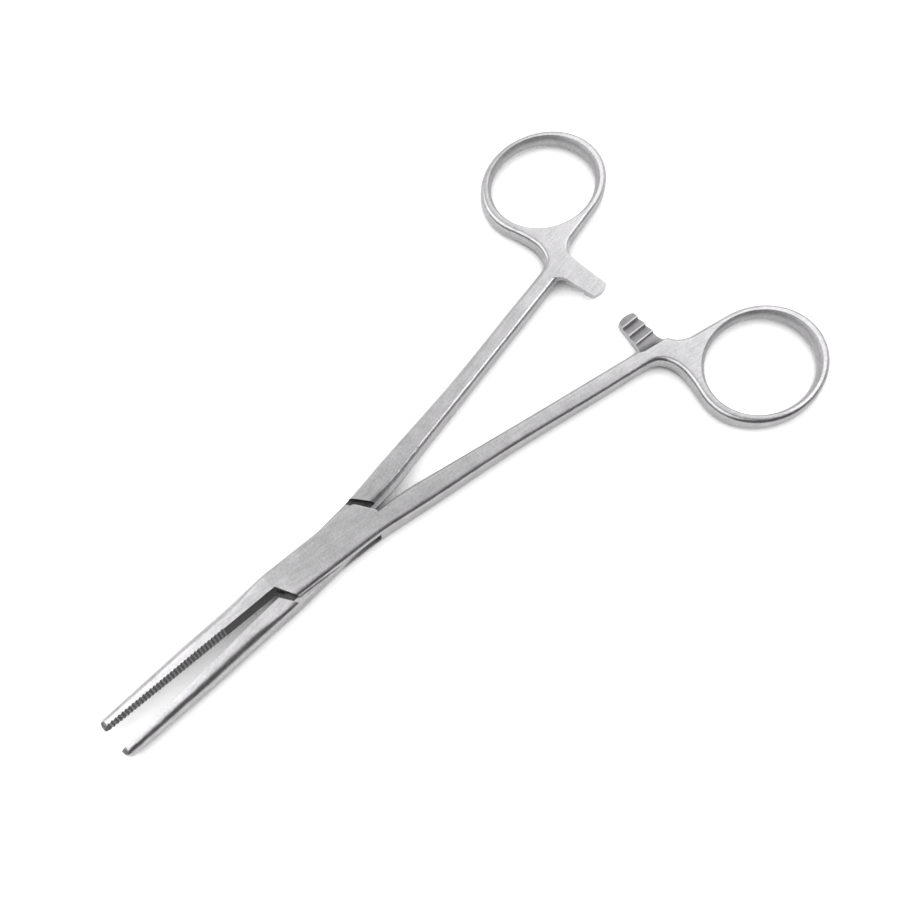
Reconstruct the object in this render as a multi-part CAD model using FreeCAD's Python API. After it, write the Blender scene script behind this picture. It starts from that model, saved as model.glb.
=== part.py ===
import FreeCAD, Part
import math
import os

V = FreeCAD.Vector
os.makedirs("parts", exist_ok=True)

# Sizes in millimetres. Each half is drawn shut: X along the forceps with the
# pivot at zero and the jaws ahead, the finger ring on the plus Y side, the jaw
# on the minus Y side, Z zero at the middle of the thickness.
OPEN_HALF = 3.2

BOX_HALF_WIDTH = 4.2
BOX_HALF_HEIGHT = 2.4
BOX_BACK = 11.85
BOX_FRONT = 13.0
BOX_FRONT_HALF_WIDTH = 3.95
PLATE_FRONT = 12.45
PLATE_SLANT = 0.69
PLATE_FRONT_SLANT = 0.55
PLATE_BEVEL_WIDTH = 0.3
PLATE_BEVEL_DEPTH = 0.07
SHOULDER_GAP = 0.8
EDGE_ROUND = 1.1

TONGUE_HALF = 1.15
SLOT_CLEARANCE = 0.05
TONGUE_REACH = 10.2
TONGUE_CLEARANCE = 0.2
PARTING_GAP = 0.1

PIN_RADIUS = 1.4
PIN_HEAD_FLARE = 0.35
PIN_HEAD_DEPTH = 0.45
PIN_SEAT_CLEARANCE = 0.01
PIN_RUN_CLEARANCE = 0.04

SHANK_ANGLE = 7.4
SHANK_START = 17.6
SHANK_BEND = 4.0
SHANK_WIDTH_BOX = 4.95
SHANK_WIDTH_MID = 4.05
SHANK_WIDTH_NECK = 3.95
SHANK_HALF_HEIGHT = 1.8
SHANK_MID = 40.0
SHANK_NECK = 65.0
TAPER_END = 58.0

RING_X = 92.6
RING_Y = 26.2
RING_LONG = 15.25
RING_ACROSS = 12.8
RING_WALL_LONG = 2.75
RING_WALL_ACROSS = 2.05
HOLE_BOW = 1.1
NECK_ANGLE = 8.7
NECK_WEB = 78.9
NECK_JOIN = 23.5
NECK_INNER_ROUND = 5.3
NECK_CORNER_ROUND = 1.3

BAR_BACK = 81.65
BAR_FRONT = 77.5
BAR_ROOT_FRONT = 76.8
BAR_FLARE = 2.4
BAR_BLEND_ANGLE = 36.0
BAR_TIP_BOX = 0.7
BAR_TIP_TONGUE = 1.5
BAR_TIP_BOW = 0.6
BAR_LEVEL = 0.08
TOOTH_FIRST = 1.25
TOOTH_PITCH = 2.3
TOOTH_DEPTH = 0.7
TOOTH_LAND = 0.3
TOOTH_FACE = 0.15
TOOTH_COUNT = 3
SCOOP_RADIUS = 3.0

JAW_TIP = 51.9
JAW_GAP_BOX = 0.36
JAW_INSET = 0.02
JAW_GAP_TIP = 0.03
JAW_LEAN_BOX = 0.6
JAW_LEAN_TONGUE = 0.0
JAW_WIDTH_MID = 2.9
JAW_WIDTH_TIP = 1.8
JAW_HALF_HEIGHT_MID = 2.1
JAW_HALF_HEIGHT_TIP = 1.6
JAW_TIP_LENGTH = 2.4
SERRATION_START = 24.5
SERRATION_PITCH = 0.78
SERRATION_DEPTH = 0.22

SLOPE = math.tan(math.radians(SHANK_ANGLE))


def inner_edge(x):
    return PARTING_GAP + SLOPE * (-x - SHANK_START)


def blend(value, low, high):
    t = min(max((value - low) / (high - low), 0.0), 1.0)
    return t


def line(a, b):
    return Part.LineSegment(a, b).toShape()


def prism(points, low, high):
    corners = [V(x, y, low) for x, y in points]
    face = Part.Face(Part.makePolygon(corners + corners[:1]))
    return face.extrude(V(0, 0, high - low))


def arc(a, b, c):
    return Part.Arc(a, b, c).toShape()


def arc_middle(centre, a, b):
    way = (a - centre) + (b - centre)
    return centre + way.normalize() * (a - centre).Length


def heading(degrees):
    turn = math.radians(degrees)
    return V(math.cos(turn), -math.sin(turn), 0)


def on_ring(u, z):
    across = RING_Y + RING_ACROSS * math.sin(u)
    return V(-RING_X + RING_LONG * math.cos(u), across, z)


# The inside of the neck: a line leaving the ring, a round that runs on into
# the back of the ratchet bar, and a smaller round back to the inner edge
def neck_inside(z):
    along = heading(NECK_ANGLE)
    lean = math.tan(math.radians(NECK_ANGLE))
    leave = math.pi + math.atan(RING_ACROSS / (RING_LONG * lean))
    ring_end = on_ring(leave, z)
    r = NECK_INNER_ROUND
    q = NECK_CORNER_ROUND
    first = V(-BAR_BACK - r, 0, z)
    first.y = ring_end.y - lean * (first.x - ring_end.x) - r / along.x
    start = first + V(-along.y, along.x, 0) * r
    shank = heading(SHANK_ANGLE)
    up = V(-shank.y, shank.x, 0)
    rise = q - (first - V(-SHANK_START, PARTING_GAP, z)).dot(up)
    run = math.sqrt((r + q) ** 2 - rise ** 2)
    second = first + shank * run + up * rise
    meet = first + (second - first) * (r / (r + q))
    end = second - up * q
    return leave, ring_end, start, first, meet, second, end


# The plan of the handle and the box, in one closed wire
def plan_wire():
    low = -5.0
    centre = V(-RING_X, RING_Y, low)
    join = math.asin((NECK_JOIN - RING_Y) / RING_ACROSS)
    neck_end = on_ring(join, low)
    neck_tangent = V(-RING_LONG * math.sin(join), RING_ACROSS * math.cos(join), 0)
    leave, ring_end, step_start, first, meet, second, step_end = neck_inside(low)

    w = BOX_HALF_WIDTH
    front = BOX_FRONT_HALF_WIDTH
    start = V(-w * 1.7, w, low)
    front_corner = V(BOX_FRONT, front, low)
    box_side = inner_edge(-SHANK_START) + SHANK_WIDTH_BOX
    mid_side = inner_edge(-SHANK_MID) + SHANK_WIDTH_MID
    neck_side = inner_edge(-SHANK_NECK) + SHANK_WIDTH_NECK
    turn = NECK_WEB - SHANK_NECK
    points = [
        start,
        V(-SHANK_START, box_side, low),
        V(-SHANK_MID, mid_side, low),
        V(-SHANK_NECK, neck_side, low),
        V(-SHANK_NECK - 0.6 * turn, neck_side + 0.07 * turn, low),
        V(-NECK_WEB + 1.9, neck_side + 0.15 * turn, low),
        V(-NECK_WEB + 0.45, neck_side + 0.3 * turn, low),
        V(-NECK_WEB, neck_side + 0.52 * turn, low),
        neck_end,
    ]
    outer = Part.BSplineCurve()
    outer.interpolate(
        Points=points,
        InitialTangent=(start - front_corner).normalize(),
        FinalTangent=neck_tangent.normalize(),
    )
    ellipse = Part.Ellipse(centre, RING_LONG, RING_ACROSS)

    # The inner edge runs straight, then bends to lie along the parting line
    shank = heading(SHANK_ANGLE)
    bend_start = V(-SHANK_START, PARTING_GAP, low) - shank * SHANK_BEND
    bend_end = V(-SHANK_START + SHANK_BEND, PARTING_GAP, low)
    bend = Part.BSplineCurve()
    bend.interpolate(
        Points=[bend_start, bend_end],
        InitialTangent=shank,
        FinalTangent=V(1, 0, 0),
    )

    inner_corner = V(-BOX_BACK, PARTING_GAP, low)
    back_corner = V(-BOX_BACK, -w, low)
    edges = [
        outer.toShape(),
        Part.ArcOfEllipse(ellipse, join, leave).toShape(),
        line(ring_end, step_start),
        arc(step_start, arc_middle(first, step_start, meet), meet),
        arc(meet, arc_middle(second, meet, step_end), step_end),
        line(step_end, bend_start),
        bend.toShape(),
        line(bend_end, inner_corner),
        line(inner_corner, back_corner),
        line(back_corner, V(BOX_FRONT, -front, low)),
        line(V(BOX_FRONT, -front, low), front_corner),
        line(front_corner, start),
    ]
    return Part.Wire(edges)


# The side view: thin at the ring, rising smoothly to the box
def side_band():
    far = -RING_X - RING_LONG - 2
    edges = []
    for side in (1, -1):
        thin = side * SHANK_HALF_HEIGHT
        thick = side * BOX_HALF_HEIGHT
        b = V(-TAPER_END, -20, thin)
        c = V(-BOX_BACK - 2, -20, thick)
        flat = V(1, 0, 0)
        rise = Part.BSplineCurve()
        rise.interpolate(Points=[b, c], InitialTangent=flat, FinalTangent=flat)
        edges.append(line(V(far, -20, thin), b))
        edges.append(rise.toShape())
        edges.append(line(c, V(BOX_FRONT + 2, -20, thick)))
    ends = []
    for x, z in ((far, SHANK_HALF_HEIGHT), (BOX_FRONT + 2, BOX_HALF_HEIGHT)):
        ends.append(line(V(x, -20, -z), V(x, -20, z)))
    wire = Part.Wire(Part.__sortEdges__(edges + ends))
    return Part.Face(wire).extrude(V(0, 90, 0))


# The finger hole: its wall bows inward like half a bead
def ring_hole():
    h = SHANK_HALF_HEIGHT + 0.2
    along = RING_LONG - RING_WALL_LONG
    across = RING_ACROSS - RING_WALL_ACROSS
    low = V(across + HOLE_BOW, 0, -h)
    high = V(across + HOLE_BOW, 0, h)
    rest = Part.makePolygon([high, V(0, 0, h), V(0, 0, -h), low])
    half = Part.Face(Part.Wire([arc(low, V(across, 0, 0), high)] + rest.Edges))
    body = half.revolve(V(0, 0, 0), V(0, 0, 1), 360)
    stretch = FreeCAD.Matrix()
    stretch.scale(along / across, 1, 1)
    body = body.transformGeometry(stretch)
    body.translate(V(-RING_X, RING_Y, 0))
    return body


def handle_and_box():
    body = Part.Face(plan_wire()).extrude(V(0, 0, 10)).common(side_band())
    # One edge is named for each run of edges that is rounded
    outer_runs = []
    for edge in body.Edges:
        box = edge.BoundBox
        flat = box.ZLength < 0.01
        box_side = box.YMax < 0.01 - BOX_FRONT_HALF_WIDTH and box.XLength > BOX_BACK
        if flat and (box_side or box.XMin < -RING_X - RING_LONG / 2):
            outer_runs.append(edge)
    return body.makeFillet(EDGE_ROUND, outer_runs).cut(ring_hole())


# The gripping face meets the parting line at the tip; one jaw leans past it
def jaw_face(x, lean):
    t = blend(x, BOX_FRONT, JAW_TIP)
    return (lean - JAW_GAP_TIP + JAW_GAP_BOX) * t - JAW_GAP_BOX


# A jaw section: flat inner face, round back
def jaw_section(x, lean):
    t = blend(x, BOX_FRONT, JAW_TIP)
    width_box = BOX_FRONT_HALF_WIDTH - JAW_GAP_BOX - JAW_INSET
    height_box = BOX_HALF_HEIGHT - JAW_INSET
    if t < 0.5:
        s = t * 2
        width = width_box + (JAW_WIDTH_MID - width_box) * s
        height = height_box + (JAW_HALF_HEIGHT_MID - height_box) * s
    else:
        s = t * 2 - 1
        width = JAW_WIDTH_MID + (JAW_WIDTH_TIP - JAW_WIDTH_MID) * s
        height = JAW_HALF_HEIGHT_MID
        height += (JAW_HALF_HEIGHT_TIP - JAW_HALF_HEIGHT_MID) * s
    full = 0.96 * min(width, height)
    r = EDGE_ROUND + (full - EDGE_ROUND) * min(t / 0.25, 1.0)
    inner = jaw_face(x, lean)
    back = inner - width
    k = r * (1 - math.sqrt(0.5))
    points = [
        V(x, inner, -height),
        V(x, inner, height),
        V(x, back + r, height),
        V(x, back + k, height - k),
        V(x, back, height - r),
        V(x, back, r - height),
        V(x, back + k, k - height),
        V(x, back + r, -height),
    ]
    edges = [
        line(points[0], points[1]),
        line(points[1], points[2]),
        arc(points[2], points[3], points[4]),
        line(points[4], points[5]),
        arc(points[5], points[6], points[7]),
        line(points[7], points[0]),
    ]
    return Part.Wire(edges)


def jaw(lean):
    length = JAW_TIP - BOX_FRONT
    stations = [BOX_FRONT + length * i / 8 for i in range(9)]
    body = Part.makeLoft([jaw_section(x, lean) for x in stations], True, False)

    # The tip is rounded off in plan and above and below
    r = JAW_TIP_LENGTH
    inner = jaw_face(JAW_TIP, lean)
    back = inner - JAW_WIDTH_TIP
    side = 0.55 * JAW_WIDTH_TIP
    a = V(JAW_TIP - r, back - 0.15, -5)
    b = V(JAW_TIP - 0.25 * r, back + 0.3 * side, -5)
    c = V(JAW_TIP, back + side, -5)
    corners = [c, V(JAW_TIP + 1, c.y, -5), V(JAW_TIP + 1, back - 1, -5)]
    corners += [V(a.x, back - 1, -5), a]
    outside = Part.Wire([arc(a, b, c)] + Part.makePolygon(corners).Edges)
    tools = [Part.Face(outside).extrude(V(0, 0, 10))]
    for side in (1, -1):
        h = side * JAW_HALF_HEIGHT_TIP
        a = V(JAW_TIP - r, -9, 1.04 * h)
        b = V(JAW_TIP - 0.25 * r, -9, 0.8 * h)
        c = V(JAW_TIP, -9, 0.5 * h)
        corners = [c, V(JAW_TIP + 1, -9, c.z), V(JAW_TIP + 1, -9, 2 * h)]
        corners += [V(a.x, -9, 2 * h), a]
        outside = Part.Wire([arc(a, b, c)] + Part.makePolygon(corners).Edges)
        tools.append(Part.Face(outside).extrude(V(0, 18, 0)))

    # Cross serrations over the outer part of the gripping face
    count = int((JAW_TIP - 0.4 - SERRATION_START) / SERRATION_PITCH)
    half = SERRATION_PITCH * 0.46
    for i in range(count):
        x = SERRATION_START + (i + 0.5) * SERRATION_PITCH
        y = jaw_face(x, lean)
        groove = [(x - half, y + 0.001), (x, y - SERRATION_DEPTH)]
        groove += [(x + half, y + 0.001), (x + half, y + 0.2), (x - half, y + 0.2)]
        tools.append(prism(groove, -5, 5))
    return body.cut(tools)


# The ratchet bar fills the lower half of the thickness, its teeth upward. Its
# sides run out of the shank's rounded edges, from just inside the flat face.
def ratchet_bar(tip):
    low = -SHANK_HALF_HEIGHT
    first = neck_inside(low)[3]
    meet = neck_inside(low)[4]
    deep = EDGE_ROUND + 0.15
    root = inner_edge(-BAR_ROOT_FRONT) + deep
    r = BAR_FLARE + deep
    bow = BAR_TIP_BOW
    out = meet - first
    away = heading(-math.degrees(math.atan2(out.y, out.x)) - BAR_BLEND_ANGLE)
    back_start = first + away * (NECK_INNER_ROUND + deep)
    back_root = V(-BAR_BACK, first.y - deep, low)
    back_tip = V(-BAR_BACK, bow - tip, low)
    middle_tip = V(-(BAR_BACK + BAR_FRONT) / 2, -tip, low)
    front_tip = V(-BAR_FRONT, bow - tip, low)
    front_root = V(-BAR_ROOT_FRONT, root - r, low)
    corner = V(-BAR_ROOT_FRONT, root, low)
    flare_end = corner + heading(SHANK_ANGLE) * r
    flare_middle = (front_root + flare_end) * 0.29 + corner * 0.42
    back_run = Part.BSplineCurve()
    back_run.interpolate(
        Points=[back_start, back_root],
        InitialTangent=V(away.y, -away.x, 0),
        FinalTangent=V(0, -1, 0),
    )
    inside = flare_end + V(0, 0.8, 0)
    edges = [
        back_run.toShape(),
        line(back_root, back_tip),
        arc(back_tip, middle_tip, front_tip),
        line(front_tip, front_root),
        arc(front_root, flare_middle, flare_end),
        line(flare_end, inside),
        line(inside, back_start + V(0.8, 0.6, 0)),
        line(back_start + V(0.8, 0.6, 0), back_start),
    ]
    return Part.Face(Part.Wire(edges)).extrude(V(0, 0, -low - BAR_LEVEL))


# What is ground away above the bar: the teeth, then a level floor and a round
# scoop that rises to the shank
def ratchet_cut(tip):
    floor = -BAR_LEVEL - TOOTH_DEPTH
    foot = TOOTH_FIRST + (TOOTH_COUNT - 1) * TOOTH_PITCH + TOOTH_FACE
    x = -BAR_BACK - 2
    profile = [V(x, -tip - 0.5, floor)]
    for i in range(TOOTH_COUNT):
        crest = TOOTH_FIRST + i * TOOTH_PITCH
        profile.append(V(x, crest - TOOTH_LAND, -BAR_LEVEL - 0.01))
        profile.append(V(x, crest, -BAR_LEVEL - 0.01))
        profile.append(V(x, crest + TOOTH_FACE, floor))
    profile += [V(x, foot, 3), V(x, -tip - 0.5, 3)]
    teeth = Part.Face(Part.makePolygon(profile + profile[:1]))
    teeth = teeth.extrude(V(BAR_BACK - BAR_ROOT_FRONT + 6, 0, 0))
    r = SCOOP_RADIUS
    shank = heading(SHANK_ANGLE)
    middle = inner_edge(-BAR_ROOT_FRONT) + EDGE_ROUND - r
    end = V(-BAR_ROOT_FRONT, middle, floor + r)
    start = end - shank * (BAR_BACK - BAR_ROOT_FRONT + 1.2)
    length = (end - start).Length
    scoop = Part.makeCylinder(r, length, start, shank).fuse(Part.makeSphere(r, end))
    near = -BAR_BACK - 6
    keep = prism([(near, foot), (-60, foot), (-60, 20), (near, 20)], -5, 5)
    level = [(start.x, foot - 0.01), (end.x + 1, foot - 0.01), (end.x + 1, end.y)]
    level += [(end.x, end.y), (start.x, start.y)]
    return [teeth, scoop.common(keep).fuse(prism(level, floor, 3))]


def forging(bar_tip, lean):
    body = handle_and_box().fuse([jaw(lean), ratchet_bar(bar_tip)])
    return body.removeSplitter().cut(ratchet_cut(bar_tip))


def turned(shape, half_sign):
    shape = shape.copy()
    if half_sign < 0:
        shape.rotate(V(0, 0, 0), V(1, 0, 0), 180)
    shape.rotate(V(0, 0, 0), V(0, 0, 1), -half_sign * OPEN_HALF)
    shape.translate(V(0, 0, BOX_HALF_HEIGHT))
    return shape


# Ways through the middle of the thickness for the other half to swing
def swing_ways(low, high, w):
    back = [(-BOX_BACK - 2, PARTING_GAP), (0, PARTING_GAP)]
    back += [(0, -w), (-BOX_BACK - 2, -w)]
    front = [(0, -JAW_GAP_BOX), (BOX_FRONT + 2, -JAW_GAP_BOX)]
    front += [(BOX_FRONT + 2, w), (0, w)]
    return [prism(back, low, high), prism(front, low, high)]


# The bevel along the back edge of one box plate
def plate_bevel(side):
    edge = V(1, -1 / PLATE_SLANT, 0).normalize()
    inward = V(-edge.y, edge.x, 0)
    corner = V(-BOX_BACK, PARTING_GAP, side * BOX_HALF_HEIGHT)
    width = inward * PLATE_BEVEL_WIDTH
    depth = V(0, 0, side * PLATE_BEVEL_DEPTH)
    a = corner + width * 2 + depth
    b = corner - width + depth
    c = corner - width - depth * 2
    face = Part.Face(Part.makePolygon([a, b, c, a]))
    return face.extrude(edge * (3 * BOX_HALF_WIDTH))


# The box half: two plates with the slot between them
def box_half():
    w = BOX_HALF_WIDTH + 1
    drop = w + PARTING_GAP
    back = [
        (-BOX_BACK - 1, PARTING_GAP),
        (-BOX_BACK, PARTING_GAP),
        (-BOX_BACK + PLATE_SLANT * drop, -w),
        (-BOX_BACK - 1, -w),
    ]
    front = [
        (BOX_FRONT + 2, -JAW_GAP_BOX),
        (PLATE_FRONT, -JAW_GAP_BOX),
        (PLATE_FRONT - PLATE_FRONT_SLANT * (w + JAW_GAP_BOX), w),
        (BOX_FRONT + 2, w),
    ]
    h = TONGUE_HALF + SLOT_CLEARANCE
    reach = TONGUE_REACH + TONGUE_CLEARANCE
    slot = Part.makeCylinder(reach, 2 * h, V(0, 0, -h), V(0, 0, 1))
    body = forging(BAR_TIP_BOX, JAW_LEAN_BOX)
    body = body.cut([prism(back, -5, 5), prism(front, -5, 5)])
    body = body.cut([plate_bevel(1), plate_bevel(-1)])
    body = body.cut(slot.fuse(swing_ways(-h, h, w)))
    return body.cut(pin_shape(PIN_SEAT_CLEARANCE))


# The tongue half: cut down to a tongue between its two shoulders
def tongue_half():
    w = BOX_HALF_WIDTH + 2
    back_x = -BOX_BACK - SHOULDER_GAP
    front_x = PLATE_FRONT + SHOULDER_GAP
    middle = [
        (back_x - 0.5, -w),
        (front_x - PLATE_FRONT_SLANT * (w - JAW_GAP_BOX), -w),
        (front_x, -JAW_GAP_BOX),
        (front_x, w),
        (back_x + PLATE_SLANT * (w - PARTING_GAP), w),
        (back_x, PARTING_GAP),
        (back_x - 0.5, PARTING_GAP),
    ]
    h = TONGUE_HALF
    body = forging(BAR_TIP_TONGUE, JAW_LEAN_TONGUE)
    body = body.cut([prism(middle, h, 5), prism(middle, -5, -h)])
    disc = Part.makeCylinder(TONGUE_REACH, 10, V(0, 0, -5), V(0, 0, 1))
    body = body.cut([way.cut(disc) for way in swing_ways(-5, 5, w)])
    bore_radius = PIN_RADIUS + PIN_RUN_CLEARANCE
    return body.cut(Part.makeCylinder(bore_radius, 10, V(0, 0, -5), V(0, 0, 1)))


# The rivet, its ends spread into countersinks and ground flush
def pin_shape(grow):
    h = BOX_HALF_HEIGHT
    r = PIN_RADIUS + grow
    body = Part.makeCylinder(r, 2 * h, V(0, 0, -h), V(0, 0, 1))
    for side in (1, -1):
        base = V(0, 0, side * (h - PIN_HEAD_DEPTH))
        head = Part.makeCone(r, r + PIN_HEAD_FLARE, PIN_HEAD_DEPTH, base, V(0, 0, side))
        body = body.fuse(head)
    return body.removeSplitter()


turned(box_half(), 1).exportStep("parts/box_half.step")
turned(tongue_half(), -1).exportStep("parts/tongue_half.step")
turned(pin_shape(0.0), 1).exportStep("parts/pivot_pin.step")
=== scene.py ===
import math

import bmesh
import bpy
from mathutils import Matrix, Vector


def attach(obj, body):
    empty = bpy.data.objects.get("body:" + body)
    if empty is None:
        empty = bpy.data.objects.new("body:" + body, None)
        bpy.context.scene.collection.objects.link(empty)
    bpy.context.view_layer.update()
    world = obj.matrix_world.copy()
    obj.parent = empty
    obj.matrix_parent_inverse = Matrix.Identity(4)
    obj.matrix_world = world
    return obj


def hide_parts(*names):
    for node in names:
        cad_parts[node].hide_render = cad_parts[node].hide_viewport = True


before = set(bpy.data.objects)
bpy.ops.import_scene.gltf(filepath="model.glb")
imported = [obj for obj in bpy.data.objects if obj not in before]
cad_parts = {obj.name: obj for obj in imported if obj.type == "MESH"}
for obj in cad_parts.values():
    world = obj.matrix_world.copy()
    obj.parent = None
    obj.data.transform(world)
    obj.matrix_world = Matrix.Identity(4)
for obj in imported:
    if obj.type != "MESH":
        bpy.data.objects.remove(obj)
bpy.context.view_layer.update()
print("forceps: frame loaded")


def newNode(tree, kind, place=(0, 0), **sockets):
    node = tree.nodes.new(kind)
    node.location = place
    for name, value in sockets.items():
        node.inputs[name].default_value = value
    return node


def mathNode(tree, operation, first, second, clamp=False):
    node = tree.nodes.new("ShaderNodeMath")
    node.operation = operation
    node.use_clamp = clamp
    for slot, value in enumerate((first, second)):
        if isinstance(value, (int, float)):
            node.inputs[slot].default_value = value
        else:
            tree.links.new(value, node.inputs[slot])
    return node.outputs[0]


def rampNode(tree, source, stops):
    node = newNode(tree, "ShaderNodeValToRGB")
    ramp = node.color_ramp
    while len(ramp.elements) < len(stops):
        ramp.elements.new(0.5)
    for element, (position, value) in zip(ramp.elements, stops):
        element.position = position
        element.color = (value, value, value, 1)
    tree.links.new(source, node.inputs["Fac"])
    return node.outputs["Color"]


# Fine grinding marks: long thin streaks along one direction, used by every steel finish
brushing = {
    "acrossScale": 2200.0,
    "alongScale": 170.0,
    "cloudScale": 300.0,
    "grainScale": 2100.0,
    "shares": {"Streaks": 0.3, "Clouds": 0.3, "Grain": 0.4},
    "colourSteps": ((0.39, 0.0), (0.61, 1.0)),
    "roughSpan": (0.3, 0.7),
}


def brushedGroup(values):
    group = bpy.data.node_groups.new("brushedMarks", "ShaderNodeTree")
    group.interface.new_socket("Turn", in_out="INPUT", socket_type="NodeSocketFloat")
    for name in values["shares"]:
        group.interface.new_socket(name, in_out="OUTPUT", socket_type="NodeSocketFloat")
    start = newNode(group, "NodeGroupInput", (-1000, 0))
    end = newNode(group, "NodeGroupOutput", (600, 0))
    coordinates = newNode(group, "ShaderNodeTexCoord", (-1000, -200))

    turn = newNode(group, "ShaderNodeVectorRotate", (-800, 0))
    turn.rotation_type = "Z_AXIS"
    group.links.new(coordinates.outputs["Object"], turn.inputs["Vector"])
    group.links.new(start.outputs["Turn"], turn.inputs["Angle"])

    across = values["acrossScale"]
    stretch = newNode(group, "ShaderNodeMapping", (-600, 0), Scale=(values["alongScale"], across, across))
    group.links.new(turn.outputs["Vector"], stretch.inputs["Vector"])

    kind = "ShaderNodeTexNoise"
    fine = newNode(group, kind, (-400, 100), Scale=1.0, Detail=3.0, Roughness=0.6)
    cloud = newNode(group, kind, (-400, -200), Scale=values["cloudScale"], Detail=3.0, Roughness=0.5)
    grain = newNode(group, kind, (-400, -450), Scale=values["grainScale"], Detail=2.0, Roughness=0.6)
    group.links.new(stretch.outputs["Vector"], fine.inputs["Vector"])
    group.links.new(coordinates.outputs["Object"], cloud.inputs["Vector"])
    group.links.new(coordinates.outputs["Object"], grain.inputs["Vector"])

    group.links.new(fine.outputs["Fac"], end.inputs["Streaks"])
    group.links.new(cloud.outputs["Fac"], end.inputs["Clouds"])
    group.links.new(grain.outputs["Fac"], end.inputs["Grain"])
    return group


marks = brushedGroup(brushing)

# The finish of the ground outside
satinSteel = {
    "darkColour": (0.49, 0.483, 0.491, 1),
    "lightColour": (0.66, 0.65, 0.662, 1),
    "roughest": 0.37,
    "smoothest": 0.29,
    "bumpStrength": 0.03,
    "bumpDistance": 0.00002,
    "turn": 0.0,
}

# Duller, rougher finishes. Painted shade: the near-black gripping faces, the dark flanks of their serrations
# and the near-black inside of the box joint. The milled ratchet, whose darker colour is partly painted shade.
# The inside of the finger rings
# Painted shade: the gripping faces get a near-black colour, far darker than the steel is
gripShadeSteel = dict(
    satinSteel,
    darkColour=(0.057, 0.056, 0.058, 1),
    lightColour=(0.10, 0.098, 0.101, 1),
    roughest=0.46,
    smoothest=0.38,
)
# The milled ratchet: a milled finish, and a darker colour that is partly painted shade on the tooth slopes
# and scoop
milledAndShadedSteel = dict(
    satinSteel,
    darkColour=(0.31, 0.305, 0.312, 1),
    lightColour=(0.44, 0.433, 0.442, 1),
    roughest=0.48,
    smoothest=0.40,
)
# Painted shade: the inside of the box joint gets a near-black colour
jointShadeSteel = dict(
    satinSteel,
    darkColour=(0.07, 0.069, 0.071, 1),
    lightColour=(0.13, 0.128, 0.131, 1),
    roughest=0.52,
    smoothest=0.44,
)
holeSteel = dict(
    satinSteel,
    darkColour=(0.48, 0.473, 0.481, 1),
    lightColour=(0.63, 0.62, 0.632, 1),
    roughest=0.60,
    smoothest=0.52,
)
# Painted shade: the flanks of the serrations get a dark colour, lighter than the gripping faces'
serratedShadeSteel = dict(
    satinSteel,
    darkColour=(0.24, 0.236, 0.242, 1),
    lightColour=(0.34, 0.335, 0.342, 1),
    roughest=0.48,
    smoothest=0.40,
)

# The order of the finishes and painted shades in each half's material list
finishesAndShades = {
    "satinSteel": satinSteel,
    "gripShadeSteel": gripShadeSteel,
    "milledAndShadedSteel": milledAndShadedSteel,
    "jointShadeSteel": jointShadeSteel,
    "holeSteel": holeSteel,
    "serratedShadeSteel": serratedShadeSteel,
}
materialOrder = list(finishesAndShades)


def steelMaterial(name, values):
    material = bpy.data.materials.new(name)
    material.use_nodes = True
    tree = material.node_tree
    shader = tree.nodes["Principled BSDF"]
    shader.inputs["Metallic"].default_value = 1.0

    mark = newNode(tree, "ShaderNodeGroup", (-900, 0))
    mark.node_tree = marks
    mark.inputs["Turn"].default_value = values["turn"]

    shares = brushing["shares"]
    shade = mathNode(tree, "MULTIPLY", mark.outputs["Streaks"], shares["Streaks"])
    shade = mathNode(tree, "ADD", shade, mathNode(tree, "MULTIPLY", mark.outputs["Clouds"], shares["Clouds"]))
    grain = mathNode(tree, "MULTIPLY", mark.outputs["Grain"], shares["Grain"])
    shade = mathNode(tree, "ADD", shade, grain, clamp=True)

    colour = newNode(tree, "ShaderNodeMix", (-400, 200))
    colour.data_type = "RGBA"
    colour.inputs[6].default_value = values["darkColour"]
    colour.inputs[7].default_value = values["lightColour"]
    tree.links.new(rampNode(tree, shade, brushing["colourSteps"]), colour.inputs[0])
    tree.links.new(colour.outputs[2], shader.inputs["Base Color"])

    rough = newNode(tree, "ShaderNodeMapRange", (-400, -100))
    rough.inputs["From Min"].default_value, rough.inputs["From Max"].default_value = brushing["roughSpan"]
    rough.inputs["To Min"].default_value = values["smoothest"]
    rough.inputs["To Max"].default_value = values["roughest"]
    tree.links.new(shade, rough.inputs["Value"])
    tree.links.new(rough.outputs["Result"], shader.inputs["Roughness"])

    bump = newNode(tree, "ShaderNodeBump", (-400, -400))
    bump.inputs["Strength"].default_value = values["bumpStrength"]
    bump.inputs["Distance"].default_value = values["bumpDistance"]
    tree.links.new(mark.outputs["Streaks"], bump.inputs["Height"])
    tree.links.new(bump.outputs["Normal"], shader.inputs["Normal"])
    return material


# Where each finish and each painted shade lies, in millimetres from the pivot. Places are on a half that is
# shut, jaw along x and gripping face toward y, apart from the two plate lines and the facet, which lie as the
# frame does.
zones = {
    "middleHeight": 2.4,
    "openTurn": 3.2,
    "grip": {"from": 11.6, "facing": 0.62, "serratedFrom": 24.5, "flankFacing": 0.3},
    "ratchet": {"from": -84.5, "to": -72.9, "floor": -0.82, "toothTop": -0.05, "facing": 0.03},
    "toothLand": {"above": -0.2, "facing": 0.99},
    "scoop": {"end": (-76.8, 5.89, 2.22), "angle": 7.4, "radius": 3.0, "slack": 0.1},
    "ringHole": {"middle": (-92.6, 26.2), "reach": (13.5, 11.7), "facing": 0.85},
    "joint": {"reach": 13.6, "tongueHalf": 1.3, "levelFacing": 0.9, "wallFacing": 0.3},
    "endWall": {"from": 8.0, "facing": -4.0},
    "plateWall": {"from": 9.5, "to": 12.6, "facing": 0.5},
    "plateBack": {"way": (1.037, 0.633, 0.0), "at": -11.72},
    "plateFront": {"way": (1.029, 0.493, 0.0), "at": 12.15},
    "facetFrom": 3.2,
}
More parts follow.
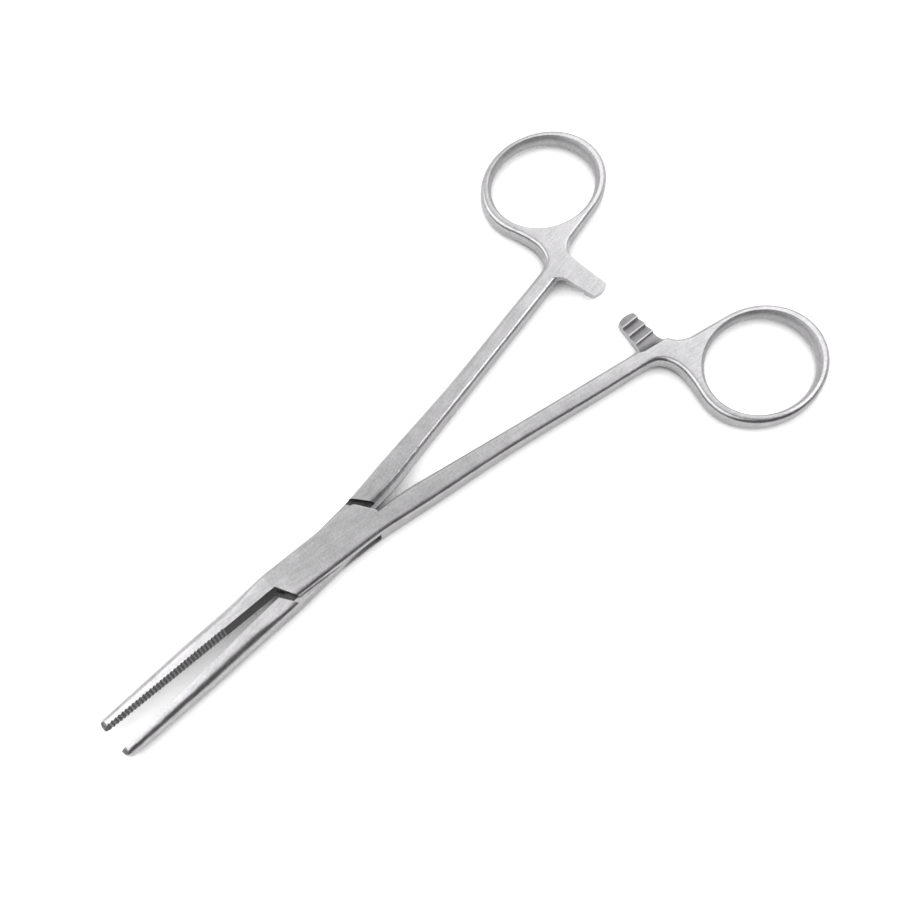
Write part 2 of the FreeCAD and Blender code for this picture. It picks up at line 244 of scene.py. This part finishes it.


# The milled parts of the ratchet bar, whose darker colour is partly painted shade: the teeth below their
# lands, and the round scoop behind them
def onRatchet(place, facing, values):
    bar = values["ratchet"]
    land = values["toothLand"]
    if not bar["from"] < place.x < bar["to"] or facing.z <= bar["facing"]:
        return False
    if facing.z > land["facing"] and place.z > land["above"]:
        return False
    scoop = values["scoop"]
    end = Vector(scoop["end"])
    turn = math.radians(scoop["angle"])
    way = Vector((math.cos(turn), -math.sin(turn), 0))
    near = end + way * min((place - end).dot(way), 0.0)
    onScoop = abs((place - near).length - scoop["radius"]) < scoop["slack"]
    return onScoop or bar["floor"] < place.z < bar["toothTop"]


def inRing(place, facing, values):
    middleX, middleY = values["ringHole"]["middle"]
    reachX, reachY = values["ringHole"]["reach"]
    away = math.hypot((place.x - middleX) / reachX, (place.y - middleY) / reachY)
    return away < 1.0 and abs(facing.z) < values["ringHole"]["facing"]


# Painted shade in the joint: the walls at its ends, the slot's flat walls on the jaw side, and the
# tongue's flat faces where no plate covers them get the near-black joint colour; the rest stays satin
def jointShadeOrSatin(world, place, facing, values):
    joint = values["joint"]
    if abs(place.x) >= joint["reach"]:
        return "satinSteel"
    if abs(facing.z) < joint["wallFacing"]:
        ends = values["endWall"]
        plate = values["plateWall"]
        endWall = facing.x * place.x < ends["facing"] and abs(place.x) > ends["from"]
        plateWall = facing.x > plate["facing"] and plate["from"] < place.x < plate["to"]
        return "jointShadeSteel" if endWall or plateWall else "satinSteel"
    if abs(facing.z) <= joint["levelFacing"] or abs(place.z) >= joint["tongueHalf"]:
        return "satinSteel"
    if facing.z * place.z < 0:
        return "jointShadeSteel" if place.x > 0 else "satinSteel"
    behind = world.dot(Vector(values["plateBack"]["way"])) < values["plateBack"]["at"]
    ahead = world.dot(Vector(values["plateFront"]["way"])) > values["plateFront"]["at"]
    facet = ahead and world.y > values["facetFrom"]
    return "jointShadeSteel" if (behind or ahead) and not facet else "satinSteel"


def finishOrShadeOf(face, ownTurn, values):
    world = face.calc_center_median() * 1000
    place = ownTurn @ (world - Vector((0, 0, values["middleHeight"])))
    facing = ownTurn @ face.normal
    grip = values["grip"]
    if place.x > grip["from"] and facing.y > grip["facing"]:
        flank = place.x > grip["serratedFrom"] and facing.x > grip["flankFacing"]
        return "serratedShadeSteel" if flank else "gripShadeSteel"
    if onRatchet(place, facing, values):
        return "milledAndShadedSteel"
    if inRing(place, facing, values):
        return "holeSteel"
    return jointShadeOrSatin(world, place, facing, values)


# The halves and the rivet: the CAD mesh is merged, so that its rounds shade smoothly
smoothing = {"mergeDistance": 0.000002, "splitDistance": 0.0000001, "sharpAngle": 28.0}


# The flat faces in the joint are split where the painted joint shade starts on them
def splitAtPlates(mesh, values):
    planes = [(Vector(values[edge]["way"]), values[edge]["at"]) for edge in ("plateBack", "plateFront")]
    planes.append((Vector((0, 1, 0)), values["facetFrom"]))
    joint = values["joint"]
    for way, at in planes:
        place = way * (at / 1000 / way.length_squared)
        near = [face for face in mesh.faces if abs(face.calc_center_median().x) < joint["reach"] / 1000]
        near = [face for face in near if abs(face.normal.z) > joint["levelFacing"]]
        parts = {part for face in near for part in (*face.verts, *face.edges, face)}
        distance = smoothing["splitDistance"]
        bmesh.ops.bisect_plane(mesh, geom=list(parts), plane_co=place, plane_no=way, dist=distance)


def smoothPiece(node, name, body, materials, values, ownTurn=None):
    piece = bpy.data.objects.new(name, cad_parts[node].data.copy())
    bpy.context.scene.collection.objects.link(piece)
    # The materials go in first, because emptying their list resets each face's choice
    piece.data.materials.clear()
    for material in materials:
        piece.data.materials.append(material)
    mesh = bmesh.new()
    mesh.from_mesh(piece.data)
    bmesh.ops.remove_doubles(mesh, verts=mesh.verts, dist=values["mergeDistance"])
    mesh.normal_update()
    if ownTurn:
        splitAtPlates(mesh, zones)
    for face in mesh.faces:
        face.smooth = True
        face.material_index = materialOrder.index(finishOrShadeOf(face, ownTurn, zones)) if ownTurn else 0
    sharp = math.radians(values["sharpAngle"])
    for edge in mesh.edges:
        edge.smooth = edge.is_manifold and edge.calc_face_angle(0) < sharp
    mesh.to_mesh(piece.data)
    mesh.free()
    attribute = piece.data.attributes.get("custom_normal")
    if attribute:
        piece.data.attributes.remove(attribute)
    weighted = piece.modifiers.new("flatFacesFirst", "WEIGHTED_NORMAL")
    weighted.mode = "FACE_AREA"
    weighted.keep_sharp = True
    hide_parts(node)
    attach(piece, body)
    return piece


def halfMaterials(name, turn):
    return [steelMaterial(kind + name, dict(values, turn=turn)) for kind, values in finishesAndShades.items()]


# The grinding marks run along each half, as far from the middle line as its shank leans
brushTurn = math.radians(10)
boxMaterials = halfMaterials("BoxHalf", brushTurn)
tongueMaterials = halfMaterials("TongueHalf", -brushTurn)

# Each half's own frame: turned shut, and the tongue half turned over as well
openTurn = math.radians(zones["openTurn"])
boxOwn = Matrix.Rotation(openTurn, 3, "Z")
tongueOwn = Matrix.Rotation(math.pi, 3, "X") @ Matrix.Rotation(-openTurn, 3, "Z")

smoothPiece("box_half", "boxHalf", "box_side", boxMaterials, smoothing, boxOwn)
smoothPiece("tongue_half", "tongueHalf", "tongue_side", tongueMaterials, smoothing, tongueOwn)
smoothPiece("pivot_pin", "pivotRivet", "box_side", boxMaterials[:1], smoothing)
print("forceps: halves and rivet dressed")

# White table under the forceps, which keeps their shadow, with painted contact shade that darkens it close to
# the steel
table = {
    "size": 6.0,
    "colour": (0.82, 0.82, 0.82, 1),
    "shadeColour": (0.03, 0.03, 0.032, 1),
    "shadeReach": 0.0055,
    "shadeSteps": ((0.18, 0.0), (0.38, 0.36), (0.48, 0.88), (0.62, 1.0)),
    "shadeSamples": 6,
    "lift": 0.74,
    "reflectedLift": 0.28,
}


def tableMaterial(values):
    material = bpy.data.materials.new("whiteTable")
    material.use_nodes = True
    tree = material.node_tree
    tree.nodes.clear()
    output = newNode(tree, "ShaderNodeOutputMaterial", (600, 0))
    diffuse = newNode(tree, "ShaderNodeBsdfDiffuse", (0, 100))
    path = newNode(tree, "ShaderNodeLightPath", (-600, -200))

    # Only the camera sees the contact shade, so the steel mirrors a plain white table
    contact = newNode(tree, "ShaderNodeAmbientOcclusion", (-600, 200), Distance=values["shadeReach"])
    contact.samples = values["shadeSamples"]
    shade = newNode(tree, "ShaderNodeMix", (-300, 200))
    shade.data_type = "RGBA"
    shade.inputs[6].default_value = values["shadeColour"]
    shade.inputs[7].default_value = values["colour"]
    unseen = mathNode(tree, "SUBTRACT", 1.0, path.outputs["Is Camera Ray"])
    clear = rampNode(tree, contact.outputs["AO"], values["shadeSteps"])
    tree.links.new(mathNode(tree, "MAXIMUM", clear, unseen), shade.inputs[0])
    tree.links.new(shade.outputs[2], diffuse.inputs["Color"])

    glow = newNode(tree, "ShaderNodeEmission", (0, -100))
    seen = mathNode(tree, "MULTIPLY", path.outputs["Is Camera Ray"], values["lift"])
    mirrored = mathNode(tree, "MAXIMUM", path.outputs["Is Glossy Ray"], path.outputs["Is Transmission Ray"])
    mirrored = mathNode(tree, "MULTIPLY", mirrored, values["reflectedLift"])
    tree.links.new(mathNode(tree, "ADD", seen, mirrored), glow.inputs["Strength"])
    tree.links.new(shade.outputs[2], glow.inputs["Color"])

    both = newNode(tree, "ShaderNodeAddShader", (300, 0))
    tree.links.new(diffuse.outputs[0], both.inputs[0])
    tree.links.new(glow.outputs[0], both.inputs[1])
    tree.links.new(both.outputs[0], output.inputs["Surface"])
    return material


def tablePiece(values):
    mesh = bmesh.new()
    bmesh.ops.create_grid(mesh, x_segments=1, y_segments=1, size=values["size"] / 2)
    data = bpy.data.meshes.new("tableTop")
    mesh.to_mesh(data)
    mesh.free()
    piece = bpy.data.objects.new("tableTop", data)
    bpy.context.scene.collection.objects.link(piece)
    data.materials.append(tableMaterial(values))


tablePiece(table)

# Soft studio light: one softbox on each side above the forceps, and a dark room behind the camera
studio = {
    "backdropWay": (-0.692, -0.722, 0.0),
    "greys": ((0.0, 0.05), (0.28, 0.08), (0.50, 0.36), (0.67, 0.66), (0.77, 0.72), (0.90, 0.74), (1.0, 0.85)),
    "lamps": {
        "jawSideSoftbox": {"place": (0.34, -0.40, 0.50), "size": (0.64, 1.30), "glow": 1.6},
        "ringSideSoftbox": {"place": (-0.62, -0.10, 0.50), "size": (0.60, 0.90), "glow": 1.0},
        "edgeStrip": {"place": (-0.375, 0.26, 0.49), "size": (0.13, 0.28), "glow": 3.6},
    },
}


def studioLight(values):
    for name, lamp in values["lamps"].items():
        data = bpy.data.lights.new(name, "AREA")
        data.shape = "RECTANGLE"
        data.size, data.size_y = lamp["size"]
        data.energy = lamp["glow"] * math.pi * data.size * data.size_y
        piece = bpy.data.objects.new(name, data)
        bpy.context.scene.collection.objects.link(piece)
        piece.location = lamp["place"]


def studioRoom(values):
    world = bpy.data.worlds.new("studioRoom")
    bpy.context.scene.world = world
    world.use_nodes = True
    tree = world.node_tree
    background = tree.nodes["Background"]
    way = newNode(tree, "ShaderNodeTexCoord", (-1000, 0))
    along = newNode(tree, "ShaderNodeVectorMath", (-800, 0))
    along.operation = "DOT_PRODUCT"
    along.inputs[1].default_value = values["backdropWay"]
    tree.links.new(way.outputs["Generated"], along.inputs[0])
    place = mathNode(tree, "MULTIPLY", mathNode(tree, "ADD", along.outputs["Value"], 1.0), 0.5)
    greys = rampNode(tree, place, values["greys"])
    path = newNode(tree, "ShaderNodeLightPath", (-600, -300))
    seen = newNode(tree, "ShaderNodeMix", (-200, 0))
    seen.data_type = "RGBA"
    tree.links.new(path.outputs["Is Camera Ray"], seen.inputs[0])
    tree.links.new(greys, seen.inputs[6])
    seen.inputs[7].default_value = (1, 1, 1, 1)
    tree.links.new(seen.outputs[2], background.inputs["Color"])


studioLight(studio)
studioRoom(studio)
print("forceps: table and lights placed")

# The photograph's camera: a hand's length above the forceps, looking down past the box joint
view = {
    "place": (0.03376, 0.06881, 0.21501),
    "right": (-0.7219, 0.6920, 0.0),
    "forward": (-0.2807, -0.2928, -0.9141),
    "lens": 46.54,
}


def photoCamera(values):
    data = bpy.data.cameras.new("photoCamera")
    data.lens = values["lens"]
    data.sensor_width = 36.0
    data.clip_start = 0.005
    data.dof.use_dof = False
    camera = bpy.data.objects.new("photoCamera", data)
    bpy.context.scene.collection.objects.link(camera)
    forward = Vector(values["forward"]).normalized()
    right = Vector(values["right"]).normalized()
    up = right.cross(forward).normalized()
    turn = Matrix((right, up, -forward)).transposed().to_4x4()
    camera.matrix_world = Matrix.Translation(values["place"]) @ turn
    bpy.context.scene.camera = camera


photoCamera(view)
bpy.context.scene.view_settings.view_transform = "Standard"
print("forceps: camera placed")
